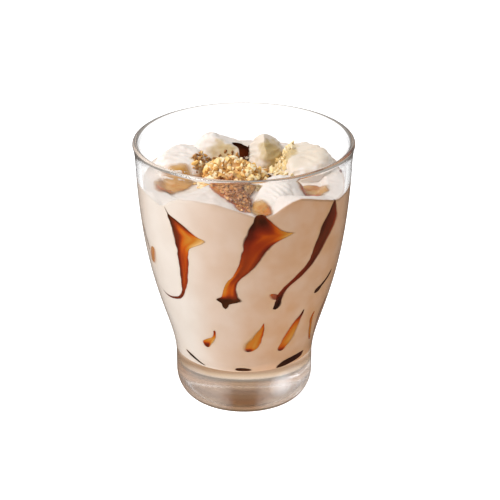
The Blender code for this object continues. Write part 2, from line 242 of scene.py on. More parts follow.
# Sauce on top: its outline (x, y), thickness, how dark it is in the middle and at its rim, softness of its
# edge
POOLS = {
    "pool_left": ((
        (-33.8, 0.2), (-29.4, 2.4), (-22.4, 3.0), (-18.0, 0.2), (-20.4, -5.6), (-24.6, -11.2),
        (-28.6, -16.0), (-32.6, -15.0), (-35.2, -7.4),
    ), 0.5, 0.12, 0.2, 0.5),
    "pool_left_foot": ((
        (-34.6, -6.4), (-31.2, -6.6), (-27.4, -8.2), (-25.6, -11.4), (-28.4, -15.4), (-32.0, -15.4),
        (-34.6, -11.4),
    ), 0.6, 0.34, 0.22, 0.7),
    "pool_right": ((
        (19.4, -4.0), (24.0, -1.4), (29.6, -2.6), (33.2, -7.4), (32.4, -13.0), (29.4, -17.4), (24.4, -18.6),
        (20.8, -15.4), (19.0, -9.4),
    ), 0.5, 0.17, 0.19, 0.35),
    "pool_right_foot": ((
        (20.4, -12.6), (24.6, -11.8), (28.6, -12.8), (30.2, -15.6), (27.4, -18.4), (23.0, -18.6),
        (20.6, -16.2),
    ), 0.6, 0.42, 0.28, 0.6),
    "pool_dip": ((
        (1.4, -24.0), (6.0, -24.6), (9.2, -28.4), (10.6, -33.5), (10.2, -38.0), (6.0, -39.2), (2.0, -37.0),
        (0.4, -30.0),
    ), 0.5, 0.2, 0.2, 0.6),
    "pool_dip_foot": ((
        (6.4, -31.0), (9.6, -31.4), (11.0, -35.0), (10.4, -38.4), (7.0, -38.6), (6.4, -35.0),
    ), 0.6, 0.3, 0.24, 0.7),
    "pool_nuts": ((
        (-13.0, -15.0), (-4.0, -12.0), (3.0, -14.0), (3.4, -24.0), (3.0, -35.0), (-1.5, -38.0),
        (-7.0, -33.0), (-12.0, -25.0),
    ), 0.4, 0.28, 0.42, 0.25),
    # These two are almost black sauce in crevices, their darkness partly painted shade
    "pool_hole": ((
        (-5.2, 25.0), (-2.0, 27.6), (1.6, 28.6), (2.4, 25.0), (1.4, 19.6), (-1.4, 18.0), (-2.4, 21.6),
    ), 0.25, 1.0, 0.9, 0.12),
    "pool_right_gap": ((
        (6.4, 8.0), (9.0, 8.4), (12.6, 3.0), (15.6, -3.4), (13.6, -5.6), (10.0, -0.4), (6.6, 3.4),
    ), 0.5, 1.0, 0.9, 0.1),
}

# How far the ice cream on the glass turns a deeper, darker tan, by angle from the front: partly caramel mixed
# in, partly painted shade on the side away from the key light
CARAMEL_AND_SHADE_ANGLES = (-180, -110, -58, -45, -35, -22, -8, 5, 15, 30, 60, 110, 180)
CARAMEL_AND_SHADE = (0.5, 0.2, 0.0, 0.03, 0.16, 0.45, 0.6, 0.75, 0.87, 0.92, 1.0, 0.8, 0.5)

# Heap of nuts: middle of its foot, reach, reach of the tongue down the front, rise
HEAP_CENTRE = (-5.0, 2.0, 92.4)
HEAP_REACH = 13.0
HEAP_TONGUE = 33.0
HEAP_RISE = 7.0

# How flat a bit of nut is, as a share of its width
FLATNESS = 0.65

# Where nuts are strewn: middle, half widths, how many, smallest and largest, palest and darkest, coated or
# not
STREWN = (
    ((-5.0, 1.5), (14.5, 12.5), 340, (1.4, 3.8), (0.0, 0.72), 0.0),
    ((-5.0, 1.5), (15.0, 13.0), 170, (0.8, 1.5), (0.1, 1.0), 0.0),
    # Dark nuts behind the heap, partly painted shade where it meets the lumps
    ((-8.5, 17.6), (8.0, 2.6), 90, (1.2, 2.6), (0.62, 1.0), 0.3),
    ((-13.0, 14.0), (5.0, 3.0), 40, (1.3, 2.6), (0.3, 0.9), 0.1),
    ((-17.8, 5.5), (2.6, 6.0), 80, (1.0, 2.2), (0.6, 1.0), 0.3),
    ((-14.0, -6.0), (3.6, 3.0), 18, (1.8, 3.2), (0.0, 0.2), 0.0),
    ((5.5, -4.5), (4.5, 4.0), 26, (1.8, 3.2), (0.0, 0.12), 0.0),
    ((14.0, 11.0), (3.2, 7.0), 54, (1.8, 3.6), (0.0, 0.2), 0.0),
    ((17.4, 19.0), (2.6, 4.4), 26, (1.6, 3.0), (0.0, 0.25), 0.0),
    ((7.0, 10.0), (4.0, 3.5), 30, (1.4, 2.6), (0.2, 0.95), 0.0),
    ((17.2, 0.8), (2.6, 4.0), 14, (2.8, 4.6), (0.02, 0.14), 0.0),
    ((11.4, 2.0), (3.0, 4.6), 26, (1.4, 2.4), (0.97, 1.0), 0.1),
    ((-4.5, -12.0), (8.0, 4.0), 60, (1.4, 3.0), (0.1, 0.7), 0.5),
    ((-5.0, -18.5), (7.5, 6.0), 120, (1.3, 3.0), (0.2, 0.9), 1.0),
    ((-2.8, -26.0), (5.8, 7.5), 110, (1.2, 2.8), (0.2, 0.9), 1.0),
    ((-0.5, -33.0), (3.0, 4.0), 30, (1.0, 2.2), (0.3, 0.9), 1.0),
)


# ---------------------------------------------------------------- sizes and colours a user would change

def length(name, description, default):
    return FloatProperty(name=name, description=description, default=default, unit="LENGTH")


def colour(name, description, default):
    return FloatVectorProperty(name=name, description=description, default=default, subtype="COLOR")


class TumblerSettings(PropertyGroup):
    """The glass."""

    height: length("Height", "Height of the glass", GLASS_HIGH.z - GLASS_LOW.z)
    rim_radius: length("Rim radius", "Outer radius of the lip", GLASS_HIGH.x)
    wall: length("Wall", "Thickness of the wall", 2.2 * MM)
    facets: IntProperty(name="Facets", description="Steps round the glass", default=240, min=48)
    tint: colour("Tint", "Colour of the glass", (0.98, 0.98, 0.98))
    edge_tint: colour("Tint edge-on", "Colour where the wall is seen edge-on", (0.52, 0.51, 0.50))
    lip_tint: colour("Tint of the lip edge-on", "Colour where the lip is seen edge-on", (0.26, 0.26, 0.27))


class IceCreamSettings(PropertyGroup):
    """The soft ice cream."""

    pressed: colour("Against the glass", "Colour where it lies wet on the glass", (0.64, 0.56, 0.49))
    # Deeper, darker tan on the glass: partly caramel mixed in, partly painted shade
    warm: colour("Mixed with caramel", "Colour on the glass where caramel has mixed in", (0.53, 0.29, 0.15))
    open_air: colour("On top", "Colour of its open top", (0.84, 0.76, 0.70))
    # Also painted shade, in part, on shaded faces of the lumps and in their grooves
    stained_and_shaded: colour("Under sauce", "Colour where sauce has soaked in", (0.52, 0.36, 0.12))
    bite: length("Reach into the wall", "How far it reaches into the glass, so that no gap shows", 0.10 * MM)


class SauceSettings(PropertyGroup):
    """The caramel sauce."""

    bite: length("Reach into the wall", "How far the runs reach into the glass", 0.18 * MM)
    depth: length("Depth", "Thickness of a run of sauce at its middle", 1.1 * MM)
    roughness: FloatProperty(name="Roughness", description="Roughness of the sauce", default=0.12)


class NutSettings(PropertyGroup):
    """The chopped nuts."""

    amount: FloatProperty(name="Amount", description="How many nuts, 1 for a usual helping", default=1.0)
    seed: IntProperty(name="Seed", description="Changes how the pieces fall", default=7)


class StageSettings(PropertyGroup):
    """Camera and light."""

    distance: length("Distance", "Camera to glass", 0.8723)
    elevation: FloatProperty(
        name="Elevation", description="Height of the camera above the horizon", default=math.radians(24.35),
        subtype="ANGLE",
    )
    lens: FloatProperty(name="Lens", description="Focal length in millimetres", default=158.5)
    key: FloatProperty(name="Key light", description="Power of the key light", default=8.5, unit="POWER")
    world: FloatProperty(name="Surroundings", description="Brightness of the white surroundings", default=0.5)


# ---------------------------------------------------------------- outline of the glass

def curve_points(start, pull_a, pull_b, end, steps):
    """Points on a cubic curve, after its start."""
    points = []
    for step in range(1, steps + 1):
        t = step / steps
        s = 1 - t
        points.append(tuple(
            s**3 * a + 3 * s * s * t * b + 3 * s * t * t * c + t**3 * d
            for a, b, c, d in zip(start, pull_a, pull_b, end)
        ))
    return points


def outside_points():
    """The glass's outer outline in millimetres, from the ring it stands on up to the lip."""
    sizes = bpy.context.scene.sundae_tumbler
    lip_radius = sizes.rim_radius / MM
    lip_height = (sizes.height - sizes.wall / 2) / MM
    points = []
    for step in range(49):
        angle = math.radians(90 * step / 48)
        radius = CONTACT_RADIUS + (FOOT_RADIUS - CONTACT_RADIUS) * math.sin(angle)
        points.append((radius, HEEL_HEIGHT * (1 - math.cos(angle))))
    points += curve_points(points[-1], (FOOT_RADIUS, 13.0), (FOOT_RADIUS, 15.0), (FOOT_RADIUS, FOOT_TOP), 4)
    points += curve_points((FOOT_RADIUS, FOOT_TOP), *FLARE_PULLS, FLARE_TOP, 48)
    points += curve_points(FLARE_TOP, *LIP_PULLS, (lip_radius, lip_height), 8)
    return points


def cavity(height):
    """Radius in metres of the hollow in the glass at a height in metres; takes numbers or arrays."""
    wall = bpy.context.scene.sundae_tumbler.wall
    points = outside_points()
    radii = [radius * MM for radius, _ in points]
    heights = [level * MM for _, level in points]
    radius = np.interp(height, heights, radii) - wall
    corner = FLOOR_CORNER * MM
    drop = np.clip(corner - (np.asarray(height) - FLOOR * MM), 0, corner)
    return radius - (corner - np.sqrt(corner**2 - drop**2))


# ---------------------------------------------------------------- helpers

def spun(profile, steps):
    """A closed body turned round the axis from (radius, height) points that start and end on the axis."""
    bm = bmesh.new()
    rows = len(profile) - 1
    bmesh.ops.create_grid(bm, x_segments=steps, y_segments=rows, size=1)
    for vert in bm.verts:
        angle = math.pi * (vert.co.x + 1)
        radius, height = profile[round((vert.co.y + 1) / 2 * rows)]
        vert.co = radius * math.cos(angle), radius * math.sin(angle), height
    bmesh.ops.remove_doubles(bm, verts=bm.verts, dist=0.002 * MM)
    bmesh.ops.recalc_face_normals(bm, faces=bm.faces)
    return bm


def piece(name, bm, material, nodes=(), sharp=None):
    """Makes a bmesh into a smooth piece that rides on the sundae."""
    mesh = bpy.data.meshes.new(name)
    bm.to_mesh(mesh)
    bm.free()
    mesh.shade_smooth()
    if sharp is not None:
        mesh.set_sharp_from_angle(angle=math.radians(sharp))
    mesh.materials.append(material)
    obj = bpy.data.objects.new(name, mesh)
    bpy.context.collection.objects.link(obj)
    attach(obj, BODY)
    if nodes:
        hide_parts(*nodes)
    return obj


def positions(mesh):
    """A mesh's vertex positions as an array."""
    points = np.empty(len(mesh.vertices) * 3, np.float32)
    mesh.vertices.foreach_get("co", points)
    return points.reshape(-1, 3).astype(float)


def set_positions(mesh, points):
    mesh.vertices.foreach_set("co", points.astype(np.float32).ravel())
    mesh.update()


def paint(mesh, name, values):
    """Stores one number for each vertex."""
    layer = mesh.attributes.new(name, "FLOAT", "POINT")
    layer.data.foreach_set("value", np.asarray(values, np.float32))


def ramp(value, low, high):
    """0 below low, 1 above high, smooth between them; takes arrays."""
    t = np.clip((value - low) / (high - low), 0, 1)
    return t * t * (3 - 2 * t)


def rough(points, size, seed=0, octaves=2):
    """Smooth random numbers, about -1 to 1, that vary over a distance of size."""
    table = np.random.default_rng(seed).uniform(-1, 1, 4096)
    total = np.zeros(len(points))
    for octave in range(octaves):
        places = points / size * 2**octave + 31.7 * octave + 100
        cells = np.floor(places).astype(np.int64)
        within = places - cells
        within = within * within * (3 - 2 * within)
        level = np.zeros(len(points))
        for corner in np.ndindex(2, 2, 2):
            x, y, z = (cells + corner).T
            weight = np.prod(np.where(corner, within, 1 - within), axis=1)
            level += weight * table[(x * 7919 + y * 104729 + z * 1299709) % len(table)]
        total += level * 0.5**octave
    return total


def through(rows, count):
    """A smooth curve through rows of numbers, read at count even steps."""
    rows = np.array(rows, float)
    slopes = np.gradient(rows, axis=0)
    at = np.linspace(0, len(rows) - 1, count)
    low = np.minimum(at.astype(int), len(rows) - 2)
    t = (at - low)[:, None]
    a, b, da, db = rows[low], rows[low + 1], slopes[low], slopes[low + 1]
    return (
        a * (2 * t**3 - 3 * t**2 + 1) + da * (t**3 - 2 * t**2 + t)
        + b * (3 * t**2 - 2 * t**3) + db * (t**3 - t**2)
    )


def ring_through(points, count):
    """A smooth closed curve through points, read at about count even steps."""
    each = count // len(points)
    rows = [*points[-2:], *points, *points[:3]]
    curve = through(rows, (len(rows) - 1) * each + 1)
    return curve[2 * each:(2 + len(points)) * each]


def surface_of(*names):
    """The upper surfaces of finished pieces, to set things down on."""
    points = []
    faces = []
    for name in names:
        mesh = bpy.data.objects[name].data
        first = len(points)
        points += [vert.co.copy() for vert in mesh.vertices]
        faces += [
            [first + index for index in face.vertices] for face in mesh.polygons if face.center.z > 0.08
        ]
    return BVHTree.FromPolygons(points, faces)


def level_at(surface, x, y):
    """Height of the highest surface at a place in plan."""
    hit = surface.ray_cast(Vector((x, y, 0.12)), Vector((0, 0, -1)))
    return hit[0].z if hit[0] else BED * MM


# ---------------------------------------------------------------- materials

def node(tree, kind, values=None, **settings):
    """Adds a shader node, with its settings and socket values."""
    made = tree.nodes.new(kind)
    for key, value in settings.items():
        setattr(made, key, value)
    for key, value in (values or {}).items():
        made.inputs[key].default_value = value
    return made


def colour_ramp(tree, stops):
    """A colour ramp from (place, colour) stops."""
    made = tree.nodes.new("ShaderNodeValToRGB")
    elements = made.color_ramp.elements
    while len(elements) < len(stops):
        elements.new(0.5)
    for element, (place, colour) in zip(elements, stops):
        element.position = place
        element.color = (*colour, 1)
    return made


def new_material(name, **values):
    """A material with its Principled shader set, and its tree."""
    material = bpy.data.materials.new(name)
    material.use_nodes = True
    tree = material.node_tree
    shader = tree.nodes["Principled BSDF"]
    for key, value in values.items():
        shader.inputs[key.replace("_", " ")].default_value = value
    return material, tree, shader


def grain_group():
    """Fine uneven relief that the foods share: a height and a mask of patches that vary over the surface."""
    group = bpy.data.node_groups.get("food_grain")
    if group:
        return group
    group = bpy.data.node_groups.new("food_grain", "ShaderNodeTree")
    group.interface.new_socket("Vector", in_out="INPUT", socket_type="NodeSocketVector")
    scale = group.interface.new_socket("Scale", in_out="INPUT", socket_type="NodeSocketFloat")
    scale.default_value = 400
    group.interface.new_socket("Height", in_out="OUTPUT", socket_type="NodeSocketFloat")
    group.interface.new_socket("Patches", in_out="OUTPUT", socket_type="NodeSocketFloat")
    inlet = group.nodes.new("NodeGroupInput")
    outlet = group.nodes.new("NodeGroupOutput")
    fine = node(group, "ShaderNodeTexNoise", {"Detail": 5.0, "Roughness": 0.6})
    wide = node(group, "ShaderNodeTexNoise", {"Detail": 2.0})
    group.links.new(inlet.outputs["Vector"], fine.inputs["Vector"])
    group.links.new(inlet.outputs["Vector"], wide.inputs["Vector"])
    group.links.new(inlet.outputs["Scale"], fine.inputs["Scale"])
    group.links.new(maths(group, "MULTIPLY", inlet.outputs["Scale"], 0.12), wide.inputs["Scale"])
    group.links.new(fine.outputs["Fac"], outlet.inputs["Height"])
    group.links.new(wide.outputs["Fac"], outlet.inputs["Patches"])
    return group


def add_grain(tree, scale):
    """Places the shared grain on Object coordinates."""
    place = tree.nodes.new("ShaderNodeTexCoord")
    grain = tree.nodes.new("ShaderNodeGroup")
    grain.node_tree = grain_group()
    grain.inputs["Scale"].default_value = scale
    tree.links.new(place.outputs["Object"], grain.inputs["Vector"])
    return grain


def add_bump(tree, shader, height, strength, distance):
    bump = node(tree, "ShaderNodeBump", {"Strength": strength, "Distance": distance})
    tree.links.new(height, bump.inputs["Height"])
    tree.links.new(bump.outputs["Normal"], shader.inputs["Normal"])


def feed(tree, socket, value):
    """Links a socket to another, or gives it a number or a colour."""
    if isinstance(value, bpy.types.NodeSocket):
        tree.links.new(value, socket)
    elif socket.type == "RGBA":
        socket.default_value = (*value, 1)
    else:
        socket.default_value = value


def maths(tree, operation, *values, clamped=False):
    """A sum of numbers or sockets."""
    made = node(tree, "ShaderNodeMath", operation=operation, use_clamp=clamped)
    for socket, value in zip(made.inputs, values):
        feed(tree, socket, value)
    return made.outputs[0]


def mix_colours(tree, factor, first, second):
    """Mixes two colours, each a colour or a socket."""
    mix = node(tree, "ShaderNodeMix", data_type="RGBA")
    tree.links.new(factor, mix.inputs["Factor"])
    feed(tree, mix.inputs[6], first)
    feed(tree, mix.inputs[7], second)
    return mix.outputs[2]


def spread(tree, source, low, high, least, most):
    """Maps a mask's range onto another."""
    values = {"From Min": low, "From Max": high, "To Min": least, "To Max": most}
    made = node(tree, "ShaderNodeMapRange", values)
    tree.links.new(source, made.inputs["Value"])
    return made.outputs["Result"]


def attribute(tree, name):
    return node(tree, "ShaderNodeAttribute", attribute_name=name).outputs["Fac"]


def glass_material():
    """Clear glass: darker edge-on, partly where light goes the long way through and partly painted shade for
    dark surroundings, most of all at the lip; banded brown and grey in its thick base and paler to the sides,
    painted shade and highlight, with a painted glint that glows there, and a painted grey glow once light is
    trapped."""
    settings = bpy.context.scene.sundae_tumbler
    material, tree, shader = new_material(
        "tumbler_glass", IOR=1.5, Transmission_Weight=1.0, Emission_Strength=1.0,
    )
    facing = node(tree, "ShaderNodeLayerWeight", {"Blend": 0.5}).outputs["Facing"]
    place = tree.nodes.new("ShaderNodeTexCoord").outputs["Object"]
    parts = tree.nodes.new("ShaderNodeSeparateXYZ")
    tree.links.new(place, parts.inputs[0])
    height = parts.outputs["Z"]
    lip_only = spread(tree, height, *LIP_BEGINS, 0.0, 1.0)
    along_lip = maths(tree, "MULTIPLY", spread(tree, facing, 0.45, 0.8, 0.0, 1.0), lip_only)
    # Edge-on darkening: partly light's long way through the glass, partly painted shade for dark surroundings
    long_way_and_painted_edge = maths(tree, "MAXIMUM", spread(tree, facing, 0.72, 1.0, 0.0, 1.0), along_lip)
    # Painted shade and highlight in the thick base: brown and grey bands by height, paler and bluer grey to
    # the sides
    up = spread(tree, height, 0.0, PAINTED_BANDS_TOP, 0.0, 1.0)
    painted_base_bands = colour_ramp(tree, (
        (0.0, (0.74, 0.68, 0.62)), (0.10, (0.62, 0.46, 0.32)), (0.17, (0.48, 0.29, 0.16)),
        (0.25, (0.22, 0.11, 0.05)), (0.33, (0.19, 0.08, 0.03)), (0.40, (0.28, 0.13, 0.06)),
        (0.47, (0.48, 0.28, 0.16)), (0.53, (0.20, 0.13, 0.09)), (0.59, (0.17, 0.12, 0.095)),
        (0.65, (0.45, 0.35, 0.26)), (0.77, (0.42, 0.32, 0.23)), (0.85, settings.tint),
    ))
    painted_base_sides = colour_ramp(tree, (
        (0.10, (0.95, 0.92, 0.88)), (0.33, (0.66, 0.70, 0.72)), (0.41, (0.46, 0.50, 0.56)),
        (0.48, (0.50, 0.55, 0.62)), (0.57, (0.84, 0.87, 0.92)), (0.66, (0.74, 0.76, 0.80)),
        (0.77, (0.62, 0.59, 0.58)), (0.85, settings.tint),
    ))
    tree.links.new(up, painted_base_bands.inputs["Fac"])
    tree.links.new(up, painted_base_sides.inputs["Fac"])
    at_side = spread(tree, maths(tree, "ABSOLUTE", parts.outputs["X"]), *PAINTED_SIDES_BEGIN, 0.0, 1.0)
    body = mix_colours(tree, at_side, painted_base_bands.outputs["Color"], painted_base_sides.outputs["Color"])
    high_up = spread(tree, height, *EDGE_DARKENS, 0.0, 1.0)
    edge_on = mix_colours(tree, high_up, settings.edge_tint, settings.lip_tint)
    tree.links.new(mix_colours(tree, long_way_and_painted_edge, body, edge_on), shader.inputs["Base Color"])
    tree.links.new(spread(tree, height, *BASE_CLEARS, 0.14, 0.01), shader.inputs["Roughness"])
    # Painted glint: the base glows at a fixed spot, as a highlight
    from_glint = node(tree, "ShaderNodeVectorMath", {1: GLINT}, operation="DISTANCE")
    tree.links.new(place, from_glint.inputs[0])
    glint = spread(tree, from_glint.outputs["Value"], *GLINT_FADES, 1.0, 0.0)
    painted_glint_glow = mix_colours(tree, glint, (0.0, 0.0, 0.0), (0.30, 0.33, 0.36))
    # Painted light: after the last reflection the glass glows grey instead of going black
    path = tree.nodes.new("ShaderNodeLightPath")
    trapped_grey_glow = maths(tree, "GREATER_THAN", path.outputs["Glossy Depth"], LAST_REFLECTION)
    tree.links.new(mix_colours(tree, trapped_grey_glow, painted_glint_glow, (0.19, 0.17, 0.15)), shader.inputs["Emission Color"])
    return material


def ice_cream_material(name, shine, softness):
    """Soft ice cream: beige where it is wet on the glass, deeper and darker tan there towards the right,
    partly caramel and partly painted shade; paler in the open; amber where sauce soaked in, partly painted
    shade on lumps.
    """
    colours = bpy.context.scene.sundae_ice_cream
    material, tree, shader = new_material(
        name, Roughness=0.45, Subsurface_Weight=softness, Subsurface_Radius=(1.0, 0.8, 0.7),
        Subsurface_Scale=2.0 * MM, IOR=1.35, Specular_IOR_Level=shine,
    )
    grain = add_grain(tree, 900)
    on_glass = mix_colours(tree, attribute(tree, "caramel_and_shade"), colours.pressed, colours.warm)
    base = mix_colours(tree, attribute(tree, "pressed"), colours.open_air, on_glass)
    base = mix_colours(tree, attribute(tree, "stain_and_shade"), base, colours.stained_and_shaded)
    mottle = spread(tree, grain.outputs["Patches"], 0.35, 0.65, 0.0, 0.1)
    tree.links.new(mix_colours(tree, mottle, base, (0.90, 0.86, 0.82)), shader.inputs["Base Color"])
    add_bump(tree, shader, grain.outputs["Height"], 0.35, 0.12 * MM)
    return material


def sauce_material(name, shine):
    """Caramel sauce: amber where it is thin, red-brown to almost black where it is thick."""
    sauce = bpy.context.scene.sundae_sauce
    material, tree, shader = new_material(name, Roughness=sauce.roughness, IOR=1.48, Specular_IOR_Level=shine)
    tone = colour_ramp(tree, (
        (0.0, (0.66, 0.42, 0.20)), (0.14, (0.55, 0.29, 0.075)), (0.28, (0.47, 0.165, 0.018)),
        (0.42, (0.46, 0.075, 0.005)), (0.56, (0.25, 0.027, 0.005)), (0.70, (0.15, 0.015, 0.005)),
        (0.85, (0.075, 0.010, 0.004)), (1.0, (0.018, 0.004, 0.002)),
    ))
    tree.links.new(attribute(tree, "tone"), tone.inputs["Fac"])
    grain = add_grain(tree, 500)
    clear = spread(tree, grain.outputs["Patches"], 0.35, 0.7, 0.0, 0.1)
    streaked = mix_colours(tree, clear, tone.outputs["Color"], (0.45, 0.14, 0.02))
    tree.links.new(streaked, shader.inputs["Base Color"])
    tree.links.new(attribute(tree, "cover"), shader.inputs["Alpha"])
    return material


def nut_material():
    """Roasted nuts, from pale cream flesh to golden and brown, shiny and tan where caramel coats them."""
    material, tree, shader = new_material("roasted_nuts", IOR=1.45)
    flesh = colour_ramp(tree, (
        (0.0, (0.95, 0.87, 0.66)), (0.2, (0.95, 0.75, 0.38)), (0.45, (0.93, 0.58, 0.18)),
        (0.7, (0.66, 0.33, 0.09)), (1.0, (0.17, 0.075, 0.027)),
    ))
    tree.links.new(attribute(tree, "tone"), flesh.inputs["Fac"])
    grain = add_grain(tree, 1400)
    toasted = spread(tree, grain.outputs["Height"], 0.42, 0.7, 0.0, 0.4)
    mottled = mix_colours(tree, toasted, flesh.outputs["Color"], (0.76, 0.42, 0.12))
    coated = attribute(tree, "coated")
    glaze = colour_ramp(tree, (
        (0.2, (0.74, 0.38, 0.13)), (0.5, (0.55, 0.21, 0.052)), (0.9, (0.26, 0.085, 0.028)),
    ))
    tree.links.new(attribute(tree, "tone"), glaze.inputs["Fac"])
    tree.links.new(mix_colours(tree, coated, mottled, glaze.outputs["Color"]), shader.inputs["Base Color"])
    tree.links.new(spread(tree, coated, 0.0, 1.0, 0.5, 0.32), shader.inputs["Roughness"])
    add_bump(tree, shader, grain.outputs["Height"], 0.5, 0.12 * MM)
    return material


def floor_material():
    """A white sweep, evenly bright; in the glass it shows a painted dark reflection, and close by, seen
    through the glass, painted grey shade.
    """
    material, tree, shader = new_material(
        "floor_white", Roughness=0.9, Emission_Strength=1.0, Specular_IOR_Level=0.0,
    )
    place = tree.nodes.new("ShaderNodeTexCoord")
    away = node(tree, "ShaderNodeVectorMath", operation="LENGTH")
    tree.links.new(place.outputs["Object"], away.inputs[0])
    near = spread(tree, away.outputs["Value"], 0.12, 0.20, 1.0, 0.0)
    path = tree.nodes.new("ShaderNodeLightPath")
    refracted = path.outputs["Is Transmission Ray"]
    # Painted shade: close to the glass, what shows through it is grey
    through_glass = maths(tree, "MULTIPLY", near, refracted)
    mirrored = maths(tree, "SUBTRACT", path.outputs["Is Glossy Ray"], refracted, clamped=True)
    colour_here = mix_colours(tree, through_glass, (0.85, 0.85, 0.85), (0.53, 0.51, 0.49))
    glow = mix_colours(tree, through_glass, (0.55, 0.55, 0.55), (0.56, 0.54, 0.52))
    seen = mix_colours(tree, path.outputs["Is Camera Ray"], glow, (0.8, 0.8, 0.8))
    # Painted reflection: the floor mirrors dark in the glass
    dark = (0.05, 0.04, 0.035)
    tree.links.new(mix_colours(tree, mirrored, colour_here, dark), shader.inputs["Base Color"])
    tree.links.new(mix_colours(tree, mirrored, seen, dark), shader.inputs["Emission Color"])
    return material


# ---------------------------------------------------------------- the glass

class SUNDAE_OT_tumbler(Operator):
    """Turn the glass tumbler"""

    bl_idname = "sundae.tumbler"
    bl_label = "Glass tumbler"

    def execute(self, context):
        sizes = context.scene.sundae_tumbler
        half = sizes.wall / 2
        lip_height = sizes.height - half
        profile = []
        for step in range(33):
            share = step / 32
            profile.append((PUNT_RADIUS * share, PUNT_HEIGHT * math.cos(math.pi / 2 * share) ** 2))
        profile += outside_points()
        profile = [(radius * MM, height * MM) for radius, height in profile]
        for step in range(1, 13):
            angle = math.radians(180 * step / 12)
            radius = sizes.rim_radius - half + half * math.cos(angle)
            profile.append((radius, lip_height + half * math.sin(angle)))
        corner_top = (FLOOR + FLOOR_CORNER) * MM
        for height in np.linspace(lip_height, corner_top, 70)[1:]:
            profile.append((float(cavity(height)), float(height)))
        for step in range(1, 25):
            angle = math.radians(90 * step / 24)
            height = corner_top - FLOOR_CORNER * MM * math.sin(angle)
            profile.append((float(cavity(height)), height))
        profile.append((0, FLOOR * MM))
        body = spun(profile, sizes.facets)
        glass = piece("tumbler", body, glass_material(), ["glass_tumbler"])
        glass.visible_shadow = False
        glass.visible_diffuse = False
        return {"FINISHED"}


# ---------------------------------------------------------------- the ice cream

def brim_values(degrees):
    """Wall level, brim's reach and brim's inner height at angles in degrees from the front."""
    table = np.array(BRIM)
    return [np.interp(degrees, table[:, 0], table[:, column]) for column in (1, 2, 3)]


def top_level(x, y):
    """Height of the ice cream's own top at places in plan; takes arrays."""
    radius = np.hypot(x, y)
    degrees = np.degrees(np.arctan2(x, -y))
    level, reach, inner = brim_values(degrees)
    share = radius / cavity(level * MM)
    across = np.clip((share - reach) / (1 - reach), 0, 1)
    brim = inner + (level - inner) * across
    inside = BED + (inner - BED) * ramp(share, reach - DROP, reach)
    return np.where(share > reach, brim, inside) * MM


def stain_and_shade_at(points):
    """How much sauce has soaked in near the pools; at the listed spots partly soaked sauce and partly painted
    shade.
    """
    # Partly painted shade: tan on the back right lump's face turned from the key light, olive-brown in the
    # hollow behind the nuts, and a faint tan over the back and right lumps
    spots = [
        ((14.0, 17.0), 11.0, 0.9, 97), ((-9.0, 16.8), 8.5, 0.85, 97), ((-16.0, 6.0), 7.0, 0.7, 95),
        ((8.0, 22.0), 16.0, 0.24, 99), ((24.6, 12.0), 15.0, 0.3, 97),
    ]
    for outline, _, dark, _, _ in POOLS.values():
        corners = np.array(outline)
        middle = corners.mean(axis=0)
        reach = np.linalg.norm(corners - middle, axis=1).mean()
        spots.append((middle, reach, 0.15 + 0.25 * dark, 93))
    uneven = 1 + 0.3 * rough(points, 2.5 * MM, 11)
    total = np.zeros(len(points))
    for (x, y), reach, strength, height in spots:
        place = np.array((x, y, height)) * MM
        distance = np.linalg.norm((points - place) * (1, 1, 0.7), axis=1) / uneven
        total = np.maximum(total, strength * (1 - ramp(distance, reach * 0.5 * MM, reach * MM)))
    return total


def all_runs():
    """Every run of sauce on the glass, those round the back worked out from those in front."""
    runs = dict(RUNS)
    for name, like, turn, rise, mirrored in BACK_RUNS:
        (soft_left, soft_right, covering), rows = RUNS[like]
        if mirrored:
            runs[name] = ((soft_right, soft_left, covering), [
                (height + rise, turn - right, turn - left, dark_right, dark_middle, dark_left)
                for height, left, right, dark_left, dark_middle, dark_right in rows
            ])
        else:
            runs[name] = ((soft_left, soft_right, covering), [
                (height + rise, turn + left, turn + right, *darks) for height, left, right, *darks in rows
            ])
    return runs


def halo_at(degrees, heights):
    """How much caramel has bled into the ice cream beside the runs of sauce; heights in millimetres."""
    total = np.zeros(len(degrees))
    for _, rows in all_runs().values():
        table = through(rows, 60)[::-1]
        left = np.interp(heights, table[:, 0], table[:, 1])
        right = np.interp(heights, table[:, 0], table[:, 2])
        turned = (degrees - (left + right) / 2 + 180) % 360 - 180
        half = (right - left) / 2
        beside = np.clip(np.abs(turned) - half, 0, 90) * math.radians(1) * cavity(heights * MM) / MM
        past = np.clip(np.maximum(table[0, 0] - heights, heights - table[-1, 0]), 0, 50)
        total = np.maximum(total, 1 - ramp(np.hypot(beside, past), 0, 2.4))
    return total


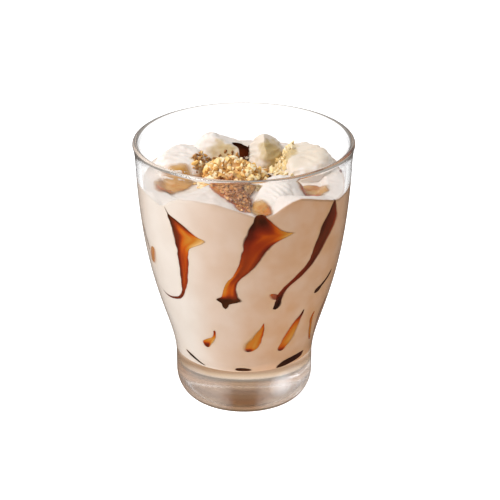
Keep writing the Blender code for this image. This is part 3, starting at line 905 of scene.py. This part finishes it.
class SUNDAE_OT_ice_cream(Operator):
    """Fill the tumbler with soft ice cream"""

    bl_idname = "sundae.ice_cream"
    bl_label = "Ice cream"

    def execute(self, context):
        bite = context.scene.sundae_ice_cream.bite
        floor = FLOOR * MM - bite
        corner_top = (FLOOR + FLOOR_CORNER) * MM
        nominal = 0.090
        profile = [(0, floor)]
        profile += [(share * float(cavity(FLOOR * MM)), floor) for share in (0.25, 0.5, 0.75, 1.0)]
        for step in range(23, -1, -1):
            angle = math.radians(90 * step / 24)
            height = corner_top - FLOOR_CORNER * MM * math.sin(angle)
            profile.append((float(cavity(height)) + bite, height))
        for height in np.linspace(corner_top, nominal, 64)[1:]:
            profile.append((float(cavity(height)) + bite, float(height)))
        full = profile[-1][0]
        rings = 76
        for ring in range(1, rings):
            profile.append((full * (1 - ring / rings), nominal))
        profile.append((0, nominal))
        wet = ice_cream_material("ice_cream_on_glass", 0.0, 0.0)
        obj = piece("ice_cream_fill", spun(profile, 420), wet, ["ice_cream"])
        mesh = obj.data
        mesh.materials.append(ice_cream_material("ice_cream_in_the_open", 0.35, 0.25))
        points = positions(mesh)
        radius = np.hypot(points[:, 0], points[:, 1])
        degrees = np.degrees(np.arctan2(points[:, 0], -points[:, 1]))
        level = brim_values(degrees)[0] * MM
        is_top = points[:, 2] > nominal - 1e-6
        is_wall = points[:, 2] > corner_top + 1e-6
        rise = np.clip((points[:, 2] - corner_top) / (nominal - corner_top), 0, 1)
        height = np.where(is_wall, corner_top + rise * (level - corner_top), points[:, 2])
        share = np.clip(radius / full, 0, 1)
        reach = cavity(np.where(is_top, level, height)) + bite
        new_radius = np.where(is_top, share * reach, np.where(is_wall, reach, radius))
        points[:, :2] *= (new_radius / np.maximum(radius, 1e-9))[:, None]
        loose = is_top * (1 - ramp(share, 0.955, 0.995))
        points[:, 2] = np.where(is_top, top_level(points[:, 0], points[:, 1]), height)
        points[:, 2] += loose * rough(points, 6 * MM, 1) * 0.45 * MM
        points[:, 2] += loose * rough(points, 1.6 * MM, 2) * 0.12 * MM
        set_positions(mesh, points)
        corners = np.empty(len(mesh.loops), np.int32)
        mesh.loops.foreach_get("vertex_index", corners)
        starts = np.empty(len(mesh.polygons), np.int32)
        mesh.polygons.foreach_get("loop_start", starts)
        open_air = (is_top & (share < 0.999)).astype(np.int32)
        mesh.polygons.foreach_set("material_index", np.minimum.reduceat(open_air[corners], starts))
        on_glass = np.where(is_top, ramp(share, 0.97, 1.0), 1.0)
        # Deeper, darker tan towards the right: partly caramel mixed in, partly painted shade away from the
        # key light
        caramel_and_shade = np.interp(degrees, CARAMEL_AND_SHADE_ANGLES, CARAMEL_AND_SHADE) + 0.12 * rough(points * (1, 1, 0.5), 14 * MM, 3)
        halo = halo_at(degrees, points[:, 2] / MM) * on_glass * 0.08
        # On the open top some of the wet colour is mixed in too, less where that colour is deeper tan: the
        # top is darker than the lumps
        paint(mesh, "pressed", np.maximum(on_glass, 0.45 - 0.35 * np.clip(caramel_and_shade, 0, 1)))
        paint(mesh, "caramel_and_shade", np.clip(caramel_and_shade, 0, 1))
        paint(mesh, "stain_and_shade", np.maximum(stain_and_shade_at(points) * (1 - on_glass), halo))
        return {"FINISHED"}


class SUNDAE_OT_lumps(Operator):
    """Set the spooned lumps of ice cream on top"""

    bl_idname = "sundae.lumps"
    bl_label = "Lumps"

    def execute(self, context):
        material = bpy.data.materials["ice_cream_in_the_open"]
        for index, (name, (centre, axes, turns, flats, (ridge, depth))) in enumerate(LUMPS.items()):
            bm = bmesh.new()
            bmesh.ops.create_icosphere(bm, subdivisions=6, radius=1)
            bmesh.ops.scale(bm, vec=axes, verts=bm.verts)
            obj = piece(name + "_spooned", bm, material, [name])
            points = positions(obj.data)
            way = points / np.linalg.norm(points, axis=1)[:, None]
            points += way * (rough(points, 9, index, 2) * 1.1)[:, None]
            for direction, distance in flats:
                normal = np.array(direction) / np.linalg.norm(direction)
                over = points @ normal - distance + 0.35 * rough(points, 6, index + 5, 2)
                soft = FLAT_SOFTNESS
                push = np.where(over > soft, over, np.where(over > -soft, (over + soft) ** 2 / (4 * soft), 0))
                points -= push[:, None] * normal
            along = points @ (np.array(ridge) / np.linalg.norm(ridge))
            bend = rough(points, 7, index + 9, 2)
            comb = np.sin(along * 2.4 + bend * 5) * (0.5 + 0.5 * rough(points, 4, index + 30, 1))
            points += way * (depth * comb)[:, None]
            groove = np.clip(-comb, 0, 1)
            points += way * (rough(points, 2.2, index + 20, 3) * 0.16)[:, None]
            turn = np.array(Euler([math.radians(degrees) for degrees in turns]).to_matrix())
            points = (points @ turn.T + np.array(centre)) * MM
            reach = cavity(points[:, 2]) - 0.15 * MM
            radius = np.hypot(points[:, 0], points[:, 1])
            points[:, :2] *= np.minimum(reach / radius, 1)[:, None]
            set_positions(obj.data, points)
            paint(obj.data, "pressed", np.zeros(len(points)))
            paint(obj.data, "caramel_and_shade", np.zeros(len(points)))
            # Darker in the grooves between the ridges: partly caramel, partly painted shade in the creases
            paint(obj.data, "stain_and_shade", np.maximum(stain_and_shade_at(points), 0.16 * groove))
        return {"FINISHED"}


# ---------------------------------------------------------------- the sauce

def flat_body(name, across, down, material):
    """A thin closed body of a grid, front and back, and for each vertex where it is: across from -1 to 1,
    down from 0 to 1, and whether it is on the back."""
    bm = bmesh.new()
    bmesh.ops.create_grid(bm, x_segments=across, y_segments=down, size=1)
    backs = bmesh.ops.extrude_face_region(bm, geom=bm.faces[:])["geom"]
    backs = [item for item in backs if isinstance(item, bmesh.types.BMVert)]
    bmesh.ops.translate(bm, vec=(0, 0, -1), verts=backs)
    bmesh.ops.recalc_face_normals(bm, faces=bm.faces)
    obj = piece(name, bm, material)
    points = positions(obj.data)
    return obj, points[:, 0], (1 - points[:, 1]) / 2, points[:, 2] < -0.5


def run_of_sauce(name, softness, rows, seed, material):
    """One run of sauce on the inside of the glass, a thin lens between a left and a right edge."""
    sauce = bpy.context.scene.sundae_sauce
    down = 26 + 4 * len(rows)
    obj, u, t, is_back = flat_body(name, 20, down, material)
    table = through(rows, down + 1)[np.rint(t * down).astype(int)]
    height, left, right = table.T[:3]
    dark_left, dark_middle, dark_right = table.T[3:] / 100
    end = 0.5 / len(rows)
    past = np.clip(np.maximum(end - t, t - 1 + end) / end, 0, 1)
    close = np.maximum(np.sqrt(1 - past**2), 0.05)
    place = np.stack([u * 2, height / 2.2, np.full(len(u), seed * 9.0)], axis=1)
    degrees = (left + right) / 2 + (right - left) / 2 * close * u + 0.4 * np.abs(u) * rough(place, 1.0, seed)
    radius = cavity(height * MM)
    bulge = (1 - u * u) * close
    radius = np.where(is_back, radius - sauce.depth * (0.15 + 0.85 * bulge), radius + sauce.bite)
    angle = np.radians(degrees)
    points = np.stack([radius * np.sin(angle), -radius * np.cos(angle), height * MM], axis=1)
    set_positions(obj.data, points)
    tone = dark_middle + (dark_left - dark_middle) * ramp(-u, 0.25, 0.8)
    tone += (dark_right - dark_middle) * ramp(u, 0.25, 0.8)
    drawn_out = np.stack([u * 2.5, height / 12, np.full(len(u), seed * 5.0)], axis=1)
    paint(obj.data, "tone", np.clip(tone + 0.07 * rough(drawn_out, 1.0, seed + 50, 3), 0, 1))
    soft_left, soft_right, covering = softness
    cover = 1 - np.maximum(ramp(-u, 1 - soft_left, 1.02), ramp(u, 1 - soft_right, 1.02))
    paint(obj.data, "cover", cover * covering)


def turned_run(name, route, material):
    """A thin run of sauce whose route turns, from (angle, height, half width) points."""
    sauce = bpy.context.scene.sundae_sauce
    along = 48
    obj, u, t, is_back = flat_body(name, 8, along, material)
    table = through(route, along + 1)
    line = np.stack([np.radians(table[:, 0]) * cavity(table[:, 1] * MM) / MM, table[:, 1]], axis=1)
    ahead = np.gradient(line, axis=0)
    ahead /= np.linalg.norm(ahead, axis=1)[:, None]
    side = np.stack([-ahead[:, 1], ahead[:, 0]], axis=1)
    step = np.rint(t * along).astype(int)
    place = line[step] + side[step] * (u * table[step, 2])[:, None]
    height = place[:, 1] * MM
    radius = cavity(height)
    angle = place[:, 0] * MM / radius
    radius = np.where(is_back, radius - sauce.depth * 0.3, radius + sauce.bite)
    set_positions(obj.data, np.stack([radius * np.sin(angle), -radius * np.cos(angle), height], axis=1))
    paint(obj.data, "tone", 0.8 - 0.1 * u * u)
    paint(obj.data, "cover", 0.9 - 0.9 * ramp(t, 0.6, 1.0))


class SUNDAE_OT_runs(Operator):
    """Run caramel sauce down the inside of the glass"""

    bl_idname = "sundae.runs"
    bl_label = "Runs of sauce"

    def execute(self, context):
        material = sauce_material("caramel_on_glass", 0.0)
        for seed, (name, (softness, rows)) in enumerate(all_runs().items()):
            run_of_sauce("sauce_" + name, softness, rows, seed, material)
        turned_run("sauce_left_hook", HOOK, material)
        return {"FINISHED"}


def pool(name, outline, thickness, dark_middle, dark_rim, softness, surface, material):
    """Sauce poured on the top, level in itself and thin at its rim."""
    rings = 14
    corners = ring_through(outline, 72)
    steps = len(corners)
    middle = corners.mean(axis=0)
    shares = np.arange(rings + 1) / rings
    plan = middle + shares[:, None, None] * (corners - middle)
    raw = np.array([[level_at(surface, x * MM, y * MM) / MM for x, y in ring] for ring in plan])
    smooth = raw.copy()
    for _ in range(4):
        padded = np.vstack([smooth[:1], smooth, smooth[-1:]])
        smooth = (np.roll(smooth, 1, 1) + np.roll(smooth, -1, 1) + padded[:-2] + padded[2:] + 2 * smooth) / 6
        smooth[0] = smooth[0].mean()
    profile = [(0, 1)]
    profile += [(ring / rings, 1) for ring in range(1, rings)]
    profile += [(1, 0)]
    profile += [(ring / rings, -1) for ring in range(rings - 1, 0, -1)]
    profile += [(0, -1)]
    bm = spun([(radius, height * 0.2) for radius, height in profile], steps)
    obj = piece(name, bm, material)
    points = positions(obj.data)
    share = np.hypot(points[:, 0], points[:, 1])
    ring = np.rint(share * rings).astype(int)
    step = np.rint(np.arctan2(points[:, 1], points[:, 0]) / math.tau * steps).astype(int) % steps
    side = np.sign(np.rint(points[:, 2] * 10))
    crown = thickness * np.clip(1 - share**3, 0, 1) ** 0.6
    blend = ramp(1 - share, 0, 0.4)
    top = raw[ring, step] + (smooth[ring, step] - raw[ring, step]) * blend + crown
    top = np.maximum(top, raw[ring, step] + 0.1 * side)
    bottom = np.minimum(raw, smooth)[ring, step] - 0.5
    height = np.where(side > 0, top, np.where(side < 0, bottom, raw[ring, step] - 0.12))
    points = np.column_stack([plan[ring, step], height]) * MM
    reach = cavity(points[:, 2]) + 0.05 * MM
    points[:, :2] *= np.minimum(reach / np.hypot(points[:, 0], points[:, 1]), 1)[:, None]
    set_positions(obj.data, points)
    tone = dark_rim + (dark_middle - dark_rim) * ramp(1 - share, 0.02, 0.5)
    spots = np.column_stack([plan[ring, step], height])
    paint(obj.data, "tone", np.clip(tone + 0.16 * rough(spots, 3.5, len(name), 2), 0, 1))
    paint(obj.data, "cover", 1 - ramp(share * (1 + 0.12 * rough(spots, 2.5, 5, 2)), 1 - softness, 1.02))


class SUNDAE_OT_pools(Operator):
    """Pour caramel sauce over the top"""

    bl_idname = "sundae.pools"
    bl_label = "Pools of sauce"

    def execute(self, context):
        shiny = sauce_material("caramel_open", 0.15)
        surface = surface_of("ice_cream_fill", *(name + "_spooned" for name in LUMPS))
        for name, values in POOLS.items():
            in_shade = values[2] > 0.9
            material = bpy.data.materials["caramel_on_glass"] if in_shade else shiny
            pool("sauce_" + name, *values, surface, material)
        return {"FINISHED"}


# ---------------------------------------------------------------- the nuts

def heap_top(x, y):
    """Top of the heap of nuts in millimetres."""
    dx = x - HEAP_CENTRE[0]
    dy = y - HEAP_CENTRE[1]
    distance = math.hypot(dx, dy)
    forward = max(-dy / distance, 0) if distance > 0 else 0
    reach = HEAP_REACH + (HEAP_TONGUE - HEAP_REACH) * forward**3
    out = distance / reach
    rise = HEAP_RISE * math.sqrt(max(1 - out * out, 0))
    return HEAP_CENTRE[2] + rise * (1 - 0.4 * forward)


def chip(bm, rng, place, size, tone, coated):
    """One chopped bit of nut: the hull of a few points strewn over a squashed ball."""
    turn = Euler([rng.uniform(0, math.tau) for _ in range(3)]).to_matrix()
    shape = Vector((rng.uniform(0.8, 1.3), rng.uniform(0.7, 1.0), rng.uniform(0.8, 1.1) * FLATNESS))
    shape *= size / 2
    tone_layer = bm.verts.layers.float["tone"]
    coated_layer = bm.verts.layers.float["coated"]
    verts = []
    for _ in range(13):
        way = Vector([rng.gauss(0, 1) for _ in range(3)]).normalized() * rng.uniform(0.85, 1.0)
        vert = bm.verts.new(place + turn @ (way * shape))
        vert[tone_layer] = min(max(tone + rng.uniform(-0.08, 0.08), 0), 1)
        vert[coated_layer] = coated
        verts.append(vert)
    hull = bmesh.ops.convex_hull(bm, input=verts)
    bmesh.ops.delete(bm, geom=hull["geom_interior"], context="VERTS")


class SUNDAE_OT_nuts(Operator):
    """Heap the chopped nuts between the lumps"""

    bl_idname = "sundae.nuts"
    bl_label = "Chopped nuts"

    def execute(self, context):
        nuts = context.scene.sundae_nuts
        rng = random.Random(nuts.seed)
        material = nut_material()
        core = bmesh.new()
        bmesh.ops.create_icosphere(core, subdivisions=5, radius=1)
        obj = piece("nut_core", core, material, ["nut_heap"])
        points = positions(obj.data)
        forward = np.clip(-points[:, 1], 0, 1)
        x = HEAP_CENTRE[0] + points[:, 0] * (HEAP_REACH - 1.5)
        y = HEAP_CENTRE[1] + points[:, 1] * (HEAP_REACH - 1.5 + (HEAP_TONGUE - HEAP_REACH) * forward**3)
        top = np.array([heap_top(*place) for place in zip(x, y)])
        low = HEAP_CENTRE[2] - 1.4
        crown = low + (top - 1.4 - low) * np.sqrt(np.abs(points[:, 2]))
        z = np.where(points[:, 2] > 0, crown, low + 2 * points[:, 2])
        points = np.stack([x, y, z], axis=1)
        points[:, 2] += 0.5 * rough(points, 1.6, 4)
        set_positions(obj.data, points * MM)
        # The core is dark brown where it shows between the chips: painted shade in the gaps
        paint(obj.data, "tone", np.full(len(points), 0.8))
        paint(obj.data, "coated", ramp(-points[:, 1], 12, 18))
        surface = surface_of(
            "ice_cream_fill", "nut_core", "sauce_pool_nuts", "sauce_pool_dip",
            *(name + "_spooned" for name in LUMPS),
        )
        bm = bmesh.new()
        bm.verts.layers.float.new("tone")
        bm.verts.layers.float.new("coated")
        for (middle_x, middle_y), (wide, deep), count, (least, most), (pale, dark), coated in STREWN:
            for _ in range(round(count * nuts.amount)):
                away = math.sqrt(rng.random())
                angle = rng.uniform(0, math.tau)
                x = (middle_x + wide * away * math.cos(angle)) * MM
                y = (middle_y + deep * away * math.sin(angle)) * MM
                size = (least + (most - least) * rng.random() ** 1.4) * MM
                z = level_at(surface, x, y) + size * rng.uniform(-0.05, 0.3)
                tone = rng.uniform(pale, dark)
                chip(bm, rng, Vector((x, y, z)), size, tone, coated * rng.uniform(0.8, 1.0))
        bmesh.ops.recalc_face_normals(bm, faces=bm.faces)
        piece("nut_chips", bm, material, (), 40)
        return {"FINISHED"}


# ---------------------------------------------------------------- the stage

class SUNDAE_OT_stage(Operator):
    """Set the floor, the light and the camera"""

    bl_idname = "sundae.stage"
    bl_label = "Stage"

    def execute(self, context):
        scene = context.scene
        settings = scene.sundae_stage
        scene.view_settings.view_transform = "Standard"
        bm = bmesh.new()
        bmesh.ops.create_grid(bm, x_segments=1, y_segments=1, size=6)
        mesh = bpy.data.meshes.new("floor")
        bm.to_mesh(mesh)
        bm.free()
        mesh.materials.append(floor_material())
        floor = bpy.data.objects.new("floor", mesh)
        context.collection.objects.link(floor)
        world = bpy.data.worlds.new("surroundings")
        scene.world = world
        world.use_nodes = True
        tree = world.node_tree
        background = tree.nodes["Background"]
        path = tree.nodes.new("ShaderNodeLightPath")
        level = node(tree, "ShaderNodeMapRange", {"To Min": settings.world, "To Max": 1.0})
        tree.links.new(path.outputs["Is Camera Ray"], level.inputs["Value"])
        tree.links.new(level.outputs["Result"], background.inputs["Strength"])
        background.inputs["Color"].default_value = (1, 1, 1, 1)
        light = bpy.data.lights.new("key", "AREA")
        light.shape = "RECTANGLE"
        light.size = 0.5
        light.size_y = 0.5
        light.energy = settings.key
        lamp = bpy.data.objects.new("key", light)
        lamp.location = (-0.62, -0.25, 0.80)
        beam = Vector((0, 0, 0.06)) - lamp.location
        lamp.rotation_euler = beam.to_track_quat("-Z", "Y").to_euler()
        context.collection.objects.link(lamp)
        camera_data = bpy.data.cameras.new("camera")
        camera_data.lens = settings.lens
        camera_data.sensor_width = 36
        camera_data.clip_start = 0.05
        camera_data.clip_end = 20
        camera = bpy.data.objects.new("camera", camera_data)
        middle = scene.sundae_tumbler.height / 2
        camera.location = (
            0, -settings.distance * math.cos(settings.elevation),
            middle + settings.distance * math.sin(settings.elevation),
        )
        aim = Vector((0.0024, 0.0028, 0.0602))
        camera.rotation_euler = (aim - camera.location).to_track_quat("-Z", "Y").to_euler()
        context.collection.objects.link(camera)
        scene.camera = camera
        return {"FINISHED"}


OPERATORS = (
    SUNDAE_OT_tumbler, SUNDAE_OT_ice_cream, SUNDAE_OT_lumps, SUNDAE_OT_runs, SUNDAE_OT_pools, SUNDAE_OT_nuts,
    SUNDAE_OT_stage,
)
GROUPS = {
    "sundae_tumbler": TumblerSettings, "sundae_ice_cream": IceCreamSettings, "sundae_sauce": SauceSettings,
    "sundae_nuts": NutSettings, "sundae_stage": StageSettings,
}


class SUNDAE_PT_panel(Panel):
    """Lists the steps that build the sundae"""

    bl_idname = "SUNDAE_PT_panel"
    bl_label = "Ice cream sundae"
    bl_space_type = "VIEW_3D"
    bl_region_type = "UI"
    bl_category = "Sundae"

    def draw(self, context):
        for operator in OPERATORS:
            self.layout.operator(operator.bl_idname)


def register():
    for name, group in GROUPS.items():
        bpy.utils.register_class(group)
        setattr(bpy.types.Scene, name, PointerProperty(type=group))
    for cls in (*OPERATORS, SUNDAE_PT_panel):
        bpy.utils.register_class(cls)


def unregister():
    for cls in reversed((*OPERATORS, SUNDAE_PT_panel)):
        bpy.utils.unregister_class(cls)
    for name, group in GROUPS.items():
        delattr(bpy.types.Scene, name)
        bpy.utils.unregister_class(group)


def main():
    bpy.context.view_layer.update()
    register()
    for step in ("tumbler", "ice_cream", "lumps", "runs", "pools", "nuts", "stage"):
        getattr(bpy.ops.sundae, step)()


if __name__ == "__main__":
    main()
